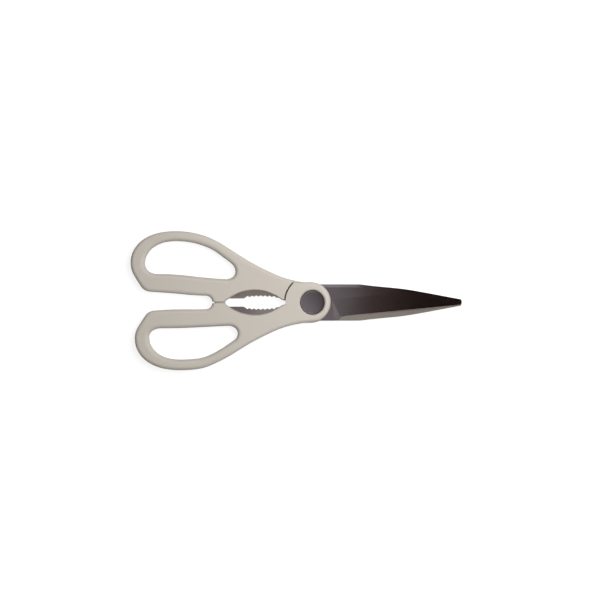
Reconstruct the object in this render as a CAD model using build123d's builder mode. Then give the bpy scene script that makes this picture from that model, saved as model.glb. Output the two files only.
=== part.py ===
from build123d import *
from math import asin, cos, radians, sin, sqrt, tan
import os

os.makedirs("parts", exist_ok=True)

# All-purpose shears, closed. Pivot axis on Z, tips on +X, lying on z = 0.
# Each half is drawn in its own working plane; the rear half is the front one turned
# over, with a longer and fuller loop.

# ---- main sizes, mm ---------------------------------------------------------------
BLADE_REACH = 96.9        # pivot axis to the tips
FRONT_REACH = 114.9       # pivot axis to the end of the front half's loop
REAR_REACH = 117.6        # pivot axis to the end of the rear half's loop
FRONT_DROP = 43.8         # pivot to the outer flank of the front loop
REAR_DROP = 46.2          # pivot to the outer flank of the rear loop
HANDLE_T = 11.0           # both layers together
BLADE_T = 2.5

# ---- fits -------------------------------------------------------------------------
RUN = 0.10                # between the sliding faces of the blades
BORE_GAP = 0.04           # rear blade round the pivot's shoulder
SEAT_GAP = 0.03           # parts that only seat
STOP_GAP = 0.06           # between the stop blocks when closed
SWING_GAP = 1.0           # between a collar and the other handle's end face

# ---- blade ------------------------------------------------------------------------
BLADE_HALF = 11.8         # centre line to spine, and to the ricasso's lower edge
BEND_X = 29.0             # where the spine leaves the straight
SPINE_NEAR = (38.0, 10.9, 174)    # the spine passes through these two, heading back
SPINE_FAR = (66.0, 7.7, 170)
SPINE_END = 171           # heading of the spine at the tip
BLANK_TIP = 7.8           # tip to where spine and cutting edge would meet
NOSE_R = 2.0              # rounded nose
NOSE_Y = 0.5              # centre line to the middle of the nose
EDGE_TILT = 5.5           # angle of the cutting edge to the centre line
HEEL_X = 26.0             # heel of the cutting edge
RICASSO_X = 14.0          # front end of the full-width flat
EDGE_T = 0.35             # steel left along the cutting edge
BEVEL = 12.0              # grind angle of the cutting bevel
BEVEL_X = 18.0            # where the bevel starts
BEVEL_LEAN = 60.0         # lean of the surface where the bevel starts
SPINE_BAND = 2.0          # width of the chamfer along the spine
SPINE_CUT = 0.5           # depth of the chamfer along the spine
HOLLOW_R = 70.0           # hollow grind of the sliding face, radius across the blade
HOLLOW_DEPTH = 0.25
HOLLOW_X0 = 18.0
HOLLOW_X1 = 84.0
HOLLOW_Y = 2.6

# ---- tang and nutcracker jaw ------------------------------------------------------
SPINE_X0 = 3.0            # where spine and foot turn into the tang, behind the pivot
TANG_WALL = 2.2           # moulding between the collar's edge and the steel inside
TANG_END = 57.5
TANG_NOSE = 3.0           # length of the sloped corners at the tang's end
TANG_BELLY_X = 36.0
TANG_BELLY = 4.6          # how far the belly hangs below the foot
TANG_WAIST_X = 17.0
TANG_WAIST = 1.8          # the same at the waist
JAW_START = 6.1           # first tooth tip, from the collar's edge
JAW_X1 = 43.4             # last tooth tip
JAW_Y = 3.2               # centre line to the tooth tips, at both ends
JAW_SAG = 0.6             # how far the row of tips bows away in the middle
JAW_ROOT_Y = 1.9          # centre line to the steel's edge behind the pivot
TEETH = 7
TOOTH = 0.9               # depth of a tooth
GRIP_X = 44.4             # plain, narrower grip for caps, beyond the teeth
GRIP_Y = 2.6
ANCHOR_R = 2.1            # holes that the moulding flows through
ANCHOR_X = (27.0, 39.5, 52.5)
ANCHOR_Y = (10.5, 12.6, 9.2)

# ---- moulded handle: collar, eye and stop block -----------------------------------
COLLAR_R = 17.4           # collar edge that faces the other handle
COLLAR_END = 11.9         # collar's end over the blade
COLLAR_TOP = 13.2
COLLAR_FOOT = 12.6
COLLAR_TURN = 1.0         # where the top edge starts to turn down, behind the pivot
COLLAR_CREST = 0.5        # height of the collar end's foremost point
WELL_R = 8.05             # round well for the pivot's head or nut
WELL_CHAMFER = 0.7
EYE_START = 2.2           # where the eye's bow starts, from the collar's edge
EYE_Y0 = 1.7
EYE_LEAN = 36             # slope of the bow at both its ends
EYE_DEPTH = 7.9
EYE_X1 = 54.4             # where the bow runs into the eye's rounded far end
EYE_Y1 = 2.3
EYE_TAIL = 2.0            # length of that end
BLOCK_X1 = 64.7           # far end of the stop block
BLOCK_ROUND = 4.2         # round between stop block and bar
SOFT_WIDTH = 0.6          # steep chamfer along the stop faces and the eye
SOFT_DEPTH = 1.8

# ---- moulded handle: flank, loop and finger hole ----------------------------------
WAIST_X = 24.0            # the outer flank passes through waist, shoulder and hip
WAIST_Y = 18.3
SHOULDER_X = 48.0
SHOULDER_Y = 31.2
HIP_X = 66.0
FRONT_HIP_Y = 40.8
REAR_HIP_Y = 41.8
CREST_X = 29.2            # loop's widest point, from the loop's end
CORNER_X = 9.0            # outer corner of the loop, from its end
CORNER_Y = 4.9            # and from its flank
END_Y = 20.4              # loop's end point, from its flank
HEEL_CORNER_X = 6.7       # inner corner of the loop, from its end
HEEL_CORNER_Y = 3.9       # and from the bar's inner edge
BAR_X = 19.8              # where the bar's inner edge starts, from the loop's end
BAR_Y = 4.4               # bar's inner edge at the stop block
FRONT_BAR_FAR = 4.7       # and at the loop
REAR_BAR_FAR = 6.5
BAR_WIDTH = 12.0
FRONT_RING = 6.8          # moulding between flank and finger hole
REAR_RING = 6.4
LOOP_END_RING = 9.1
HIP_RING = 7.0
HOLE_FAR_X = 16.9         # hole's corner at the bar, from the loop's end
FRONT_HOLE_END = 48.3     # end of the hole nearest to the pivot
REAR_HOLE_END = 49.8
HOLE_NEAR_X = 6.2         # hole's corner at the shoulder, from that end
HOLE_NEAR_Y = 15.1
HOLE_END_ROUND = 4.9
HOLE_FLANK_X = 55.5
HOLE_FLANK_Y = 27.7
HOLE_CORNER_X = 15.5      # far outer corner of the hole, from the loop's end
HOLE_CORNER_Y = 3.5
HOLE_END_Y = 14.5
OUTER_ROUND = 2.4
HOLE_ROUND = 2.8

# ---- pivot ------------------------------------------------------------------------
HEAD_R = 7.8
HEAD_T = 2.3
HEAD_CROWN = 0.3
HEAD_ROUND = 1.2
NECK_R = 4.2              # double-D neck, keyed into the front blade
NECK_FLATS = 6.6
SHOULDER_R = 3.2          # bearing of the rear blade
THREAD_R = 2.5
NUT_R = 6.4
NUT_T = 1.6
NUT_EDGE = 0.4
PIN_HOLE_R = 0.85         # spanner holes in the nut
PIN_HOLE_AT = 4.4
PIN_HOLE_FLOOR = 0.4
WASHER_R = 6.0
WASHER_T = 0.45
WASHER_CONE = 0.35        # height of the spring cone

# ---- places and heights that follow -----------------------------------------------
TANG_ROOT = COLLAR_R - TANG_WALL  # half-round of steel behind the pivot
JAW_X0 = COLLAR_R + JAW_START
EYE_X0 = COLLAR_R + EYE_START
EYE_END = EYE_X1 + EYE_TAIL
PARTING = HANDLE_T / 2            # the plane on which the blades slide
INNER = RUN / 2                   # a blade's sliding face, from the parting plane
OUTER = INNER + BLADE_T           # a blade's outer face, from the parting plane
BEYOND = HANDLE_T                 # how far a cut runs past what it cuts
SEAT = PARTING + OUTER            # under the pivot's head
TOP = SEAT + HEAD_T
BACK = PARTING - OUTER            # rear blade's outer face
WASHER_TOP = BACK - SEAT_GAP
NUT_TOP = WASHER_TOP - WASHER_CONE - WASHER_T
NUT_FACE = NUT_TOP - NUT_T

# working planes: x to the tips, y towards the half's own spine, z to its outer face
FRONT = Plane(origin=(0, 0, PARTING), x_dir=(1, 0, 0), z_dir=(0, 0, 1))
REAR = Plane(origin=(0, 0, PARTING), x_dir=(1, 0, 0), z_dir=(0, 0, -1))


# ---- helpers ----------------------------------------------------------------------
def curve_to(start, end, tangent):
    """Arc from start along tangent, or a line if end lies straight ahead."""
    chord = end - start
    if abs(tangent.cross(chord).Z) < 1e-5 * chord.length:
        Line(start, end)
    else:
        TangentArc(start, end, tangent=tangent)
    along = chord.normalized()
    return along * (2 * tangent.dot(along)) - tangent


def smooth(*knots):
    """Join knots (x, y, heading) by pairs of arcs that run into each other."""
    for (x0, y0, h0), (x1, y1, h1) in zip(knots, knots[1:]):
        start, end = Vector(x0, y0), Vector(x1, y1)
        t0 = Vector(cos(radians(h0)), sin(radians(h0)))
        t1 = Vector(cos(radians(h1)), sin(radians(h1)))
        chord = end - start
        both = chord.dot(t0 + t1)
        spread = 2 * (1 - t0.dot(t1))
        if spread < 1e-9:
            arm = chord.dot(chord) / (2 * both)
        else:
            arm = (sqrt(both**2 + spread * chord.dot(chord)) - both) / spread
        middle = (start + end + (t0 - t1) * arm) * 0.5
        curve_to(middle, end, curve_to(start, middle, t0))


def towards(work, x, y, z):
    """Direction given along a working plane's own axes."""
    return work.x_dir * x + work.y_dir * y + work.z_dir * z


def round_cut(work, radius, start, depth):
    """Bore on the pivot axis, from start above the parting plane."""
    with BuildSketch(work.offset(start)) as disc:
        Circle(radius)
    extrude(disc.sketch, amount=depth, mode=Mode.SUBTRACT)


def double_d(work, start, gap):
    """Round with two flats, the section of the pivot's neck."""
    with BuildSketch(work.offset(start)) as key:
        Circle(NECK_R + gap)
        Rectangle(3 * NECK_R, NECK_FLATS + 2 * gap, mode=Mode.INTERSECT)
    return key.sketch


# ---- blade ------------------------------------------------------------------------
def jaw_points():
    """Saw teeth along a shallow arc, from the pivot side outwards."""
    half = (JAW_X1 - JAW_X0) / 2
    middle = -(JAW_X0 + JAW_X1) / 2
    radius = (half**2 + JAW_SAG**2) / (2 * JAW_SAG)
    sweep = asin(half / radius)
    points = []
    for i in range(2 * TEETH + 1):
        angle = sweep * (1 - i / TEETH)
        r = radius + (TOOTH if i % 2 else 0)
        points.append((middle + r * sin(angle), radius - JAW_Y - JAW_SAG - r * cos(angle)))
    return points


def blade(work):
    """Blade, ricasso, toothed jaw and tang, cut from one sheet."""
    jaw = jaw_points()
    rise = tan(radians(EDGE_TILT))
    point = (BLADE_REACH + BLANK_TIP, BLANK_TIP * rise)
    heel = (HEEL_X, (HEEL_X - BLADE_REACH) * rise)
    foot = -BLADE_HALF
    with BuildSketch(work.offset(INNER)) as plan:
        with BuildLine():
            smooth((*point, SPINE_END), SPINE_FAR, SPINE_NEAR, (BEND_X, BLADE_HALF, 180))
            Line((BEND_X, BLADE_HALF), (-SPINE_X0, BLADE_HALF))
            smooth((-SPINE_X0, BLADE_HALF, 180), (-TANG_ROOT, 0, -90))
            Polyline((-TANG_ROOT, 0), (-TANG_ROOT, -JAW_ROOT_Y), *jaw, (-GRIP_X, -GRIP_Y),
                     (-TANG_END + TANG_NOSE, -GRIP_Y),
                     (-TANG_END, -GRIP_Y - TANG_NOSE / 2), (-TANG_END, foot))
            smooth((-TANG_END, foot, -45), (-TANG_END + TANG_NOSE, foot - TANG_NOSE / 2, -10),
                   (-TANG_BELLY_X, foot - TANG_BELLY, 3),
                   (-TANG_WAIST_X, foot - TANG_WAIST, 14), (-SPINE_X0, foot, 0))
            Line((-SPINE_X0, foot), (RICASSO_X, foot))
            smooth((RICASSO_X, foot, 0), (*heel, EDGE_TILT))
            Line(heel, point)
        make_face()
        with Locations(*[(-x, -y) for x, y in zip(ANCHOR_X, ANCHOR_Y)]):
            Circle(ANCHOR_R, mode=Mode.SUBTRACT)
    extrude(plan.sketch, amount=BLADE_T)


def chamfer_spine(work):
    """Band ground along the spine, on the outer face ahead of the collar."""
    face = faces().sort_by(Axis(work.origin, work.z_dir))[-1]
    spine = []
    for edge in face.edges():
        at = work.to_local_coords(edge.center())
        if at.X > 0 and at.Y > 0:
            spine.append(edge)
    chamfer(spine, SPINE_CUT, SPINE_BAND)


def grind_bevel(work):
    """Cutting bevel on the outer face, started by a leaning surface at the ricasso."""
    tilt, lean, rise = radians(EDGE_TILT), radians(BEVEL_LEAN), tan(radians(BEVEL))
    length = (BLADE_REACH - BEVEL_X) / cos(tilt)
    along = towards(work, cos(tilt), sin(tilt), 0)
    ramp = Plane(origin=work.from_local_coords((BEVEL_X, -length * sin(tilt), 0)),
                 x_dir=towards(work, -sin(tilt), cos(tilt), 0),
                 z_dir=along * cos(lean) + work.z_dir * sin(lean))
    outside = 2 * BLADE_T
    high = (OUTER + BLADE_T) / cos(lean)
    with BuildSketch(ramp) as section:
        with BuildLine():
            Polyline((-outside, (INNER + EDGE_T - outside * rise) / cos(lean)),
                     (-outside, high),
                     ((OUTER + BLADE_T - INNER - EDGE_T) / rise, high), close=True)
        make_face()
    extrude(section.sketch, amount=length + 2 * BEYOND, dir=along, mode=Mode.SUBTRACT)


def grind_hollow(work):
    """Shallow barrel-shaped hollow in the sliding face."""
    side = Plane(origin=work.from_local_coords((0, HOLLOW_Y, INNER)), x_dir=work.x_dir,
                 z_dir=-work.y_dir)
    middle = (HOLLOW_X0 + HOLLOW_X1) / 2
    with BuildSketch(side) as section:
        with BuildLine():
            ThreePointArc((HOLLOW_X0, 0), (middle, HOLLOW_DEPTH), (HOLLOW_X1, 0))
            Polyline((HOLLOW_X1, 0), (HOLLOW_X1, -HOLLOW_R), (HOLLOW_X0, -HOLLOW_R),
                     (HOLLOW_X0, 0))
        make_face()
    spin = Axis(side.from_local_coords((0, -HOLLOW_R, 0)), side.x_dir)
    revolve(section.sketch, axis=spin, mode=Mode.SUBTRACT)


def round_nose(work):
    """Cut the sharp end of the blank back to a rounded nose."""
    middle = BLADE_REACH - NOSE_R
    with BuildSketch(work.offset(INNER - BLADE_T)) as waste:
        with Locations((middle + BEYOND, 0)):
            Rectangle(2 * BEYOND, 2 * BEYOND)
        with Locations((middle, NOSE_Y)):
            Circle(NOSE_R, mode=Mode.SUBTRACT)
    extrude(waste.sketch, amount=3 * BLADE_T, mode=Mode.SUBTRACT)


def ground_blade(work):
    blade(work)
    chamfer_spine(work)
    grind_bevel(work)
    grind_hollow(work)
    round_nose(work)


# ---- moulded handle ---------------------------------------------------------------
def soften(work):
    """Chamfer the edges of both flat faces along the stop block and the eye."""
    for end in (0, -1):
        flat = faces().filter_by(Axis.Z).sort_by(Axis.Z)[end]
        chosen = []
        for edge in flat.edges():
            at = work.to_local_coords(edge.center())
            low = -EYE_DEPTH if at.X > -EYE_END else 0
            if -BLOCK_X1 < at.X < -COLLAR_R and at.Y > low - STOP_GAP:
                chosen.append(edge)
        chamfer(chosen, SOFT_WIDTH, SOFT_DEPTH, reference=flat)


def rounded(which, radius):
    """Round the chosen edges of the handle's two flat faces."""
    flats = faces().filter_by(Axis.Z).sort_by(Axis.Z)
    fillet([edge for face in (flats[0], flats[-1]) for edge in which(face)], radius)


def moulding(work, reach, drop, hip, ring, bar, hole_end):
    """Loop, bar, shoulder and collar in one piece, both layers thick."""
    block = (-BLOCK_X1, 0, 90)
    hole_start = (HOLE_FAR_X - reach, -bar - BAR_WIDTH, 0)
    hole_drop = drop - ring
    with BuildSketch(work.offset(-PARTING)) as plan:
        with BuildLine():
            smooth((-COLLAR_TURN, COLLAR_TOP, 0), (COLLAR_END, COLLAR_CREST, -90),
                   (COLLAR_CREST, -COLLAR_FOOT, 184), (-WAIST_X, -WAIST_Y, 204),
                   (-SHOULDER_X, -SHOULDER_Y, 213), (-HIP_X, -hip, 203),
                   (CREST_X - reach, -drop, 180), (CORNER_X - reach, CORNER_Y - drop, 148),
                   (-reach, END_Y - drop, 90),
                   (HEEL_CORNER_X - reach, -bar - HEEL_CORNER_Y, 56),
                   (BAR_X - reach, -bar, 3), (-BLOCK_X1 - BLOCK_ROUND, -BAR_Y, 1), block)
            Polyline(block[:2], (-BLOCK_X1, BLOCK_ROUND), (-WAIST_X, COLLAR_TOP),
                     (-COLLAR_TURN, COLLAR_TOP))
        make_face()
        with BuildLine():
            smooth(hole_start, (-hole_end - HOLE_NEAR_X, -HOLE_NEAR_Y, 3),
                   (-hole_end, -HOLE_NEAR_Y - HOLE_END_ROUND, -90),
                   (-HOLE_FLANK_X, -HOLE_FLANK_Y, 215), (-HIP_X, HIP_RING - hip, 206),
                   (CREST_X - reach, -hole_drop, 180),
                   (HOLE_CORNER_X - reach, HOLE_CORNER_Y - hole_drop, 147),
                   (LOOP_END_RING - reach, HOLE_END_Y - hole_drop, 90), hole_start)
        make_face(mode=Mode.SUBTRACT)
    extrude(plan.sketch, amount=HANDLE_T)
    rounded(lambda face: [e for wire in face.inner_wires() for e in wire.edges()], HOLE_ROUND)
    rounded(lambda face: face.outer_wire().edges(), OUTER_ROUND)


def make_room(work):
    """Take away what belongs to the other half: its side of the stop, the eye, its collar."""
    near = SWING_GAP - COLLAR_R
    far = -BLOCK_X1 - BEYOND
    high = COLLAR_TOP + BEYOND
    stop = -STOP_GAP / 2
    with BuildSketch(work.offset(-PARTING - BEYOND)) as other:
        with BuildLine():
            smooth((-EYE_END, stop, -90), (-EYE_X1, -EYE_Y1, -EYE_LEAN),
                   (-(EYE_X0 + EYE_X1) / 2, -EYE_DEPTH, 0), (-EYE_X0, -EYE_Y0, EYE_LEAN))
            Polyline((-EYE_X0, -EYE_Y0), (near, -EYE_Y0 / 2), (near, high), (far, high),
                     (far, stop), (-EYE_END, stop))
        make_face()
        with Locations((near / 2, COLLAR_TOP)):
            Rectangle(-near, 2 * COLLAR_TOP)
        Circle(COLLAR_R, mode=Mode.SUBTRACT)
    extrude(other.sketch, amount=HANDLE_T + 2 * BEYOND, mode=Mode.SUBTRACT)
    soften(work)
    round_cut(work, COLLAR_R + SWING_GAP, INNER, -BEYOND)


def collar_well(work):
    """Round well for the pivot, with its broken edge."""
    round_cut(work, WELL_R, -PARTING - BEYOND, HANDLE_T + 2 * BEYOND)
    face = faces().sort_by(Axis(work.origin, work.z_dir))[-1]
    rim = face.edges().filter_by(GeomType.CIRCLE)
    chamfer(rim.filter_by(lambda edge: abs(edge.radius - WELL_R) < SEAT_GAP), WELL_CHAMFER)


# ---- the two halves ---------------------------------------------------------------
with BuildPart() as front_blade:
    ground_blade(FRONT)
    extrude(double_d(FRONT, -BLADE_T, SEAT_GAP), amount=3 * BLADE_T, mode=Mode.SUBTRACT)
front_blade.part.label = "front_blade"
export_step(front_blade.part, "parts/front_blade.step")

with BuildPart() as rear_blade:
    ground_blade(REAR)
    round_cut(REAR, SHOULDER_R + BORE_GAP, -BLADE_T, 3 * BLADE_T)
rear_blade.part.label = "rear_blade"
export_step(rear_blade.part, "parts/rear_blade.step")

with BuildPart() as front_handle:
    moulding(FRONT, FRONT_REACH, FRONT_DROP, FRONT_HIP_Y, FRONT_RING, FRONT_BAR_FAR,
             FRONT_HOLE_END)
    make_room(FRONT)
    collar_well(FRONT)
    add(front_blade.part, mode=Mode.SUBTRACT)
front_handle.part.label = "front_handle"
export_step(front_handle.part, "parts/front_handle.step")

with BuildPart() as rear_handle:
    moulding(REAR, REAR_REACH, REAR_DROP, REAR_HIP_Y, REAR_RING, REAR_BAR_FAR, REAR_HOLE_END)
    make_room(REAR)
    collar_well(REAR)
    add(rear_blade.part, mode=Mode.SUBTRACT)
rear_handle.part.label = "rear_handle"
export_step(rear_handle.part, "parts/rear_handle.step")

# ---- pivot ------------------------------------------------------------------------
with BuildPart() as pivot_bolt:
    with BuildSketch(Plane.XZ) as head:
        with BuildLine():
            Polyline((0, TOP + HEAD_CROWN), (0, SEAT), (HEAD_R, SEAT),
                     (HEAD_R, TOP - HEAD_ROUND))
            TangentArc((HEAD_R, TOP - HEAD_ROUND), (HEAD_R - HEAD_ROUND, TOP), tangent=(0, 1))
            TangentArc((0, TOP + HEAD_CROWN), (HEAD_R - HEAD_ROUND, TOP), tangent=(1, 0))
        make_face()
    revolve(axis=Axis.Z)
    extrude(double_d(FRONT, INNER, 0), amount=BLADE_T)
    with BuildSketch(Plane.XY.offset(BACK - RUN)) as shoulder:
        Circle(SHOULDER_R)
    extrude(amount=BLADE_T + 2 * RUN)
    with BuildSketch(Plane.XY.offset(NUT_FACE - RUN)) as thread:
        Circle(THREAD_R)
    extrude(amount=BACK - NUT_FACE)
pivot_bolt.part.label = "pivot_bolt"
export_step(pivot_bolt.part, "parts/pivot_bolt.step")

with BuildPart() as spring_washer:
    with BuildSketch(Plane.XZ) as cone:
        with BuildLine():
            Polyline((THREAD_R + SEAT_GAP, WASHER_TOP - WASHER_CONE), (WASHER_R, WASHER_TOP),
                     (WASHER_R, WASHER_TOP - WASHER_T), (THREAD_R + SEAT_GAP, NUT_TOP),
                     close=True)
        make_face()
    revolve(axis=Axis.Z)
spring_washer.part.label = "spring_washer"
export_step(spring_washer.part, "parts/spring_washer.step")

with BuildPart() as pivot_nut:
    with BuildSketch(Plane.XY.offset(NUT_FACE)) as ring:
        Circle(NUT_R)
        Circle(THREAD_R + SEAT_GAP, mode=Mode.SUBTRACT)
    extrude(amount=NUT_T)
    rim = edges().filter_by(GeomType.CIRCLE).sort_by(Axis.Z)[:2]
    chamfer(rim.sort_by(SortBy.RADIUS)[-1], NUT_EDGE)
    with BuildSketch(Plane.XY.offset(NUT_FACE)) as pins:
        with PolarLocations(PIN_HOLE_AT, 2):
            Circle(PIN_HOLE_R)
    extrude(amount=NUT_T - PIN_HOLE_FLOOR, mode=Mode.SUBTRACT)
pivot_nut.part.label = "pivot_nut"
export_step(pivot_nut.part, "parts/pivot_nut.step")
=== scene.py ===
import math

import bmesh
import bpy
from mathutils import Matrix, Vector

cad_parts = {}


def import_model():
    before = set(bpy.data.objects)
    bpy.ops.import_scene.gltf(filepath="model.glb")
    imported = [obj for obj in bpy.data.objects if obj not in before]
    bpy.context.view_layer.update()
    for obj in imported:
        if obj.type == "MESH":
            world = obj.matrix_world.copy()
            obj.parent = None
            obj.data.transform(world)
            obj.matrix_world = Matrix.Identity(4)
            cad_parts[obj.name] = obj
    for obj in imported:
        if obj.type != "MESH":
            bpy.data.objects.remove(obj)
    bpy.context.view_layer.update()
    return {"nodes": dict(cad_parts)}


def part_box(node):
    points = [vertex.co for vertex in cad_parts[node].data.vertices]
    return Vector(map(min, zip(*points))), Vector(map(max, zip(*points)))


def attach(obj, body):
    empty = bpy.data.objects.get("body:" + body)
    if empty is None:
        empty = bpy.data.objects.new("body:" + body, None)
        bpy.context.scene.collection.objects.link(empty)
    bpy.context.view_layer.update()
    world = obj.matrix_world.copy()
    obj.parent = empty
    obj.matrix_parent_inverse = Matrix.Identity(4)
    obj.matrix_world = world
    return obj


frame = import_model()

MM = 0.001

# ---- framing: the picture's scale and the place of the pivot in it ----------------
IMAGE_PX = 600
MM_PER_PX = 0.6483
PIVOT_PX = (312.3, 302.5)
CAMERA_DISTANCE = 1.5
CAMERA_REACH = 20.0
SENSOR_MM = 36.0

# ---- places taken from the frame -----------------------------------------------------
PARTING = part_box("front_handle")[1][2] / 2
TIP_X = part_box("front_blade")[1][0]
SLIDE_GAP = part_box("front_blade")[0][2] - PARTING

# ---- the solid blade's cutting edge, which the frame doesn't tell --------------------
EDGE_TILT = math.radians(5.5)
EDGE_T = 0.35 * MM
BEVEL = math.radians(12)
NOSE_R = 2.0 * MM
NOSE_Y = 0.5 * MM

# ---- the honed edge that is added to it ----------------------------------------------
HONED_X = 21.0 * MM
HONED_WIDTH = 1.25 * MM
HONED_INSET = 0.005 * MM
HONED_LAP = 0.05 * MM
HONED_STEPS = 40
NOSE_STEPS = 32

# ---- stage ---------------------------------------------------------------------------
FLOOR_SIZE = 6.0
FLOOR_DROP = 0.05 * MM
FLOOR_GLOW = 0.85
FLOOR_COLOR = (0.34, 0.34, 0.34)
FLOOR_CLOUD = 0.99
WHITE_FROM, WHITE_TO = 0.10, 0.40
SKY_LIGHT = (1.0, 0.955, 0.89)
SKY_STRENGTH = 0.12
KEY_PLACE = (0.140, 0.100, 0.40)
KEY_SIZE = 0.36
KEY_POWER = 2.33
KEY_COLOR = (0.985, 1.0, 1.0)
# Place of the glowing board that paints reflections in the steel.
BOARD_X = (-200, 340)
BOARD_Y = (-220, 220)
BOARD_Z = 150


# ---- node helpers --------------------------------------------------------------------
class Graph:
    """Short way to write a shader's nodes."""

    def __init__(self, owner):
        owner.use_nodes = True
        self.tree = owner.node_tree
        self.tree.nodes.clear()

    def node(self, kind, inputs=None, **settings):
        made = self.tree.nodes.new("ShaderNode" + kind)
        for key, value in settings.items():
            setattr(made, key, value)
        for key, value in (inputs or {}).items():
            self.put(made.inputs[key], value)
        return made

    def put(self, socket, value):
        if isinstance(value, bpy.types.NodeSocket):
            self.tree.links.new(value, socket)
        else:
            socket.default_value = value

    def math(self, operation, a, b=0.0):
        return self.node("Math", {0: a, 1: b}, operation=operation).outputs[0]

    def invert(self, value):
        return self.math("SUBTRACT", 1.0, value)

    def blend(self, factor, a, b):
        made = self.node("Mix", data_type="RGBA")
        self.put(made.inputs[0], factor)
        self.put(made.inputs[6], a)
        self.put(made.inputs[7], b)
        return made.outputs[2]

    def mix(self, factor, a, b):
        return self.node("Mix", {0: factor, 2: a, 3: b}).outputs[0]

    def span(self, value, low, high):
        """0 to 1 turned into low to high."""
        return self.node("MapRange", {0: value, 3: low, 4: high}).outputs[0]

    def ramp(self, value, start, end):
        """0 before start, 1 after end, smooth between."""
        made = self.node("MapRange", {0: value, 1: start, 2: end, 3: 0.0, 4: 1.0})
        made.interpolation_type = "SMOOTHSTEP"
        return made.outputs[0]

    def band(self, value, rise, fall):
        """1 between two ramps, each given by its ends in mm."""
        up = self.ramp(value, rise[0] * MM, rise[1] * MM)
        down = self.ramp(value, fall[0] * MM, fall[1] * MM)
        return self.math("MULTIPLY", up, self.invert(down))

    def length(self, vector):
        return self.node("VectorMath", {0: vector}, operation="LENGTH").outputs["Value"]

    def grain(self, place, stretch, detail=3.0, rough=0.55):
        """Noise with its features stretched along the axes."""
        scaled = self.node("VectorMath", {0: place, 1: stretch}, operation="MULTIPLY")
        made = self.node("TexNoise", {"Vector": scaled.outputs[0], "Scale": 1.0,
                                      "Detail": detail, "Roughness": rough})
        return made.outputs["Fac"]

    def bump(self, height, strength, distance, under=None):
        made = self.node("Bump", {"Height": height, "Strength": strength,
                                  "Distance": distance})
        if under is not None:
            self.put(made.inputs["Normal"], under)
        return made.outputs[0]

    def principled(self, inputs):
        self.finish(self.node("BsdfPrincipled", inputs).outputs[0])

    def finish(self, shader):
        out = self.node("OutputMaterial")
        self.tree.links.new(shader, out.inputs["Surface"])


def material(name):
    made = bpy.data.materials.new(name)
    return made, Graph(made)


def dress(node, made):
    """Give a CAD node its material."""
    mesh = frame["nodes"][node].data
    mesh.materials.clear()
    mesh.materials.append(made)


def rgba(r, g, b):
    return (r, g, b, 1.0)


def link(thing):
    bpy.context.collection.objects.link(thing)
    return thing


# ---- handle plastic ------------------------------------------------------------------
def plastic():
    """Warm light grey moulding, satin, with a fine spark-eroded grain and a parting line."""
    made, g = material("handle_plastic")
    place = g.node("TexCoord").outputs["Object"]
    height = g.node("SeparateXYZ", {0: place}).outputs["Z"]
    cloud = g.grain(place, (55, 55, 55), 2.0)
    color = g.blend(cloud, rgba(0.560, 0.511, 0.456), rgba(0.582, 0.531, 0.474))
    grain = g.grain(place, (5200, 5200, 5200), 2.0)
    from_line = g.math("ABSOLUTE", g.math("SUBTRACT", height, PARTING))
    line = g.invert(g.ramp(from_line, 0.03 * MM, 0.10 * MM))
    normal = g.bump(grain, 0.25, 0.02 * MM)
    normal = g.bump(line, 0.6, 0.05 * MM, normal)
    g.principled({"Base Color": color, "Roughness": g.span(grain, 0.40, 0.52),
                  "Normal": normal, "IOR": 1.49, "Specular IOR Level": 0.35})
    return made


# ---- steel ---------------------------------------------------------------------------
def blade_steel(name, side):
    """Polished outside; matt and ground across on the sliding face, finer where honed. The
    sliding face's lighter base colour is partly its ground finish and partly painted light.
    """
    made, g = material(name)
    coords = g.node("TexCoord").outputs
    place = coords["Object"]
    facing = g.node("SeparateXYZ", {0: coords["Normal"]}).outputs["Z"]
    sliding = g.ramp(g.math("MULTIPLY", facing, -side), 0.2, 0.6)
    across_edge = (math.sin(EDGE_TILT), -side * math.cos(EDGE_TILT), 0)
    along = g.node("VectorMath", {0: place, 1: across_edge},
                   operation="DOT_PRODUCT").outputs["Value"]
    from_edge = g.math("SUBTRACT", TIP_X * math.sin(EDGE_TILT), along)
    honed = g.invert(g.ramp(from_edge, -0.55 * MM, -0.35 * MM))
    brushed = g.grain(place, (120, 6500, 6500), 4.0, 0.6)
    ground = g.grain(place, (5200, 90, 5200), 4.0, 0.6)
    lines = g.mix(sliding, brushed, ground)
    smudge = g.grain(place, (70, 110, 70), 3.0)
    outer = g.blend(smudge, rgba(0.48, 0.455, 0.460), rgba(0.58, 0.550, 0.555))
    # Partly painted light: the sliding face's base colour is raised past bare steel's to lighten
    # it; the rest is its ground finish.
    ground_face_and_painted_light = g.blend(ground, rgba(0.74, 0.695, 0.62), rgba(0.87, 0.825, 0.745))
    color = g.blend(sliding, outer, ground_face_and_painted_light)
    rough = g.mix(sliding, g.span(brushed, 0.12, 0.20), g.span(ground, 0.62, 0.74))
    rough = g.math("MULTIPLY", rough, g.invert(g.math("MULTIPLY", honed, 0.35)))
    g.principled({"Base Color": color, "Metallic": 1.0, "Roughness": rough,
                  "Normal": g.bump(lines, 0.12, 0.01 * MM)})
    return made


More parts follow.
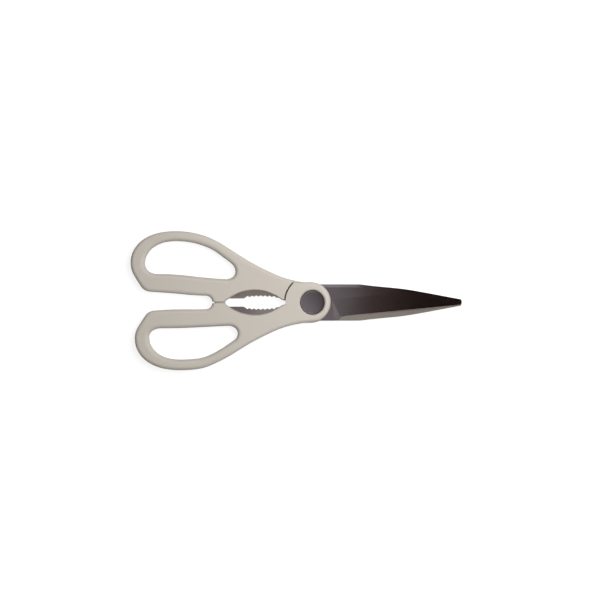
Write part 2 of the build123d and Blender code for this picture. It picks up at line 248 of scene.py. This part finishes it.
def turned_steel(name, light):
    """Steel turned on a lathe: fine rings round the pivot axis."""
    made, g = material(name)
    place = g.node("TexCoord").outputs["Object"]
    flat = g.node("VectorMath", {0: place, 1: (1, 1, 0)}, operation="MULTIPLY").outputs[0]
    ring_place = g.node("CombineXYZ", {"X": g.length(flat)}).outputs[0]
    rings = g.grain(ring_place, (9000, 1, 1), 3.0, 0.6)
    smudge = g.grain(place, (160, 160, 160), 3.0)
    color = g.blend(smudge, rgba(light * 0.93, light * 0.87, light * 0.96),
                    rgba(light, light * 0.94, light * 1.03))
    g.principled({"Base Color": color, "Metallic": 1.0, "Roughness": g.span(rings, 0.26, 0.36),
                  "Normal": g.bump(rings, 0.15, 0.01 * MM)})
    return made


# ---- honed edge ----------------------------------------------------------------------
def spread(start, end, steps):
    return [start + (end - start) * i / steps for i in range(steps)]


def honed_plan():
    """Outline of the strip on the front blade, seen from above."""

    def line_y(x, d):
        """Y of the line that runs d outside the solid's edge."""
        return (x - TIP_X) * math.tan(EDGE_TILT) - d / math.cos(EDGE_TILT)

    nose = []
    for i in range(NOSE_STEPS + 1):
        turn = math.radians(-90 + 90 * i / NOSE_STEPS)
        x = TIP_X - NOSE_R + NOSE_R * math.cos(turn)
        y = NOSE_Y + NOSE_R * math.sin(turn)
        if -HONED_LAP < outside_edge(x, y) < HONED_WIDTH:
            nose.append((x, y))
    out = spread(HONED_X, nose[0][0], HONED_STEPS)
    back = spread(nose[-1][0], HONED_X, HONED_STEPS) + [HONED_X]
    return ([(x, line_y(x, HONED_WIDTH)) for x in out] + nose
            + [(x, line_y(x, -HONED_LAP)) for x in back])


def outside_edge(x, y):
    """How far a place on the front blade lies outside the solid's cutting edge."""
    return (x - TIP_X) * math.sin(EDGE_TILT) - y * math.cos(EDGE_TILT)


def honed_edge(name, side, body, made):
    """The last of the bevel, ground on past the blunt edge of the solid blade."""
    mesh = bmesh.new()
    low_ring, high_ring = [], []
    for x, y in honed_plan():
        thick = EDGE_T - HONED_INSET - outside_edge(x, y) * math.tan(BEVEL)
        for ring, z in ((low_ring, HONED_INSET), (high_ring, thick)):
            ring.append(mesh.verts.new((x, side * y, PARTING + side * (SLIDE_GAP + z))))
    mesh.faces.new(low_ring)
    mesh.faces.new(high_ring)
    for i in range(len(low_ring)):
        j = (i + 1) % len(low_ring)
        mesh.faces.new((low_ring[i], low_ring[j], high_ring[j], high_ring[i]))
    bmesh.ops.recalc_face_normals(mesh, faces=mesh.faces)
    data = bpy.data.meshes.new(name)
    mesh.to_mesh(data)
    mesh.free()
    data.materials.append(made)
    thing = link(bpy.data.objects.new(name, data))
    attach(thing, body)


def dress_parts():
    handle = plastic()
    dress("front_handle", handle)
    dress("rear_handle", handle)
    for half, side in (("front", 1), ("rear", -1)):
        steel = blade_steel(half + "_blade_steel", side)
        dress(half + "_blade", steel)
        honed_edge(half + "_honed_edge", side, half + "_half", steel)
    head = turned_steel("pivot_steel", 0.44)
    for node in ("pivot_bolt", "pivot_nut", "spring_washer"):
        dress(node, head)


# ---- stage ---------------------------------------------------------------------------
def plane(name, corners, made):
    mesh = bpy.data.meshes.new(name)
    mesh.from_pydata(corners, [], [(0, 1, 2, 3)])
    mesh.materials.append(made)
    thing = link(bpy.data.objects.new(name, mesh))
    return thing


def seen_directly(g):
    """1 for camera, glossy and transmission rays."""
    path = g.node("LightPath").outputs
    seen = g.math("MAXIMUM", path["Is Camera Ray"], path["Is Glossy Ray"])
    return g.math("MAXIMUM", seen, path["Is Transmission Ray"])


def floor():
    """Pale floor that keeps the shadow and goes over into the white background."""
    made, g = material("pale_floor")
    place = g.node("TexCoord").outputs["Object"]
    cloud = g.grain(place, (3, 3, 3), 2.0)
    color = g.blend(cloud, rgba(*[c * FLOOR_CLOUD for c in FLOOR_COLOR]), rgba(*FLOOR_COLOR))
    lit = g.node("BsdfDiffuse", {"Color": color})
    away = g.ramp(g.length(place), WHITE_FROM, WHITE_TO)
    level = g.math("ADD", FLOOR_GLOW, g.math("MULTIPLY", away, 1 - FLOOR_GLOW))
    glow = g.node("Emission", {"Color": rgba(1, 1, 1),
                               "Strength": g.math("MULTIPLY", seen_directly(g), level)})
    both = g.node("AddShader", {0: lit.outputs[0], 1: glow.outputs[0]})
    g.finish(both.outputs[0])
    half = FLOOR_SIZE / 2
    z = -FLOOR_DROP
    plane("floor", [(-half, -half, z), (half, -half, z), (half, half, z), (-half, half, z)], made)


def world():
    """White where it is seen, a weak warm sky where it lights."""
    scene_world = bpy.data.worlds.new("studio")
    bpy.context.scene.world = scene_world
    g = Graph(scene_world)
    seen = seen_directly(g)
    color = g.blend(seen, rgba(*SKY_LIGHT), rgba(1, 1, 1))
    strength = g.mix(seen, SKY_STRENGTH, 1.0)
    background = g.node("Background", {"Color": color, "Strength": strength})
    out = g.node("OutputWorld")
    g.tree.links.new(background.outputs[0], out.inputs["Surface"])


def key_light():
    """Soft lamp over the blades, aimed at the pivot and not mirrored in the steel."""
    data = bpy.data.lights.new("key", "AREA")
    data.shape = "SQUARE"
    data.size = KEY_SIZE
    data.energy = KEY_POWER
    data.color = KEY_COLOR
    thing = bpy.data.objects.new("key", data)
    thing.location = KEY_PLACE
    aim = -thing.location
    thing.rotation_euler = aim.to_track_quat("-Z", "Y").to_euler()
    thing.visible_glossy = False
    link(thing)


def painted_reflection_board():
    """Glowing board over the shears, seen only in what is polished, that paints reflections in
    the steel: dark painted reflections over the blades, darkest over the tips, lighter ones over
    the jaws, below the pivot and for the spine.
    """
    made, g = material("painted_reflection_board")
    x, y = g.node("SeparateXYZ", {0: g.node("TexCoord").outputs["Object"]}).outputs[:2]
    over_blades = g.ramp(x, 12 * MM, 53 * MM)
    over_tips = g.ramp(x, 50 * MM, 88 * MM)
    past_tips = g.ramp(x, 170 * MM, 230 * MM)
    over_jaw = g.band(x, (-50, -32), (-26, -8))
    below_pivot = g.band(y, (-52, -40), (-28, -12))
    above_pivot = g.band(y, (10, 26), (40, 52))
    mirrored_by_spine = g.math("MULTIPLY", g.ramp(y, 55 * MM, 95 * MM),
                               g.invert(g.ramp(x, 10 * MM, 58 * MM)))
    # Each zone's emitted tone is a painted reflection, set for the part of the steel that mirrors
    # it.
    color = g.blend(over_jaw, rgba(0.235, 0.213, 0.224), rgba(0.45, 0.42, 0.41))
    color = g.blend(below_pivot, color, rgba(0.40, 0.37, 0.36))
    color = g.blend(above_pivot, color, rgba(0.15, 0.135, 0.15))
    color = g.blend(over_blades, color, rgba(0.058, 0.040, 0.036))
    color = g.blend(over_tips, color, rgba(0.020, 0.012, 0.010))
    color = g.blend(mirrored_by_spine, color, rgba(0.42, 0.40, 0.41))
    color = g.blend(past_tips, color, rgba(0.26, 0.24, 0.24))
    glow = g.node("Emission", {"Color": color, "Strength": 1.0})
    g.finish(glow.outputs[0])
    (x0, x1), (y0, y1) = BOARD_X, BOARD_Y
    corners = [(x0, y0), (x0, y1), (x1, y1), (x1, y0)]
    card = plane("painted_reflection_board", [(a * MM, b * MM, BOARD_Z * MM) for a, b in corners], made)
    card.visible_camera = False
    card.visible_diffuse = False
    card.visible_shadow = False
    card.visible_transmission = False


def camera():
    """Straight above, with the pivot at its place in the picture."""
    data = bpy.data.cameras.new("camera")
    data.sensor_width = SENSOR_MM
    data.lens = SENSOR_MM * CAMERA_DISTANCE / (IMAGE_PX * MM_PER_PX * MM)
    data.clip_end = CAMERA_REACH
    thing = bpy.data.objects.new("camera", data)
    x = (IMAGE_PX / 2 - PIVOT_PX[0]) * MM_PER_PX * MM
    y = (PIVOT_PX[1] - IMAGE_PX / 2) * MM_PER_PX * MM
    thing.location = (x, y, CAMERA_DISTANCE + PARTING)
    bpy.context.scene.camera = link(thing)


dress_parts()
floor()
world()
key_light()
painted_reflection_board()
camera()
bpy.context.scene.view_settings.view_transform = "Standard"
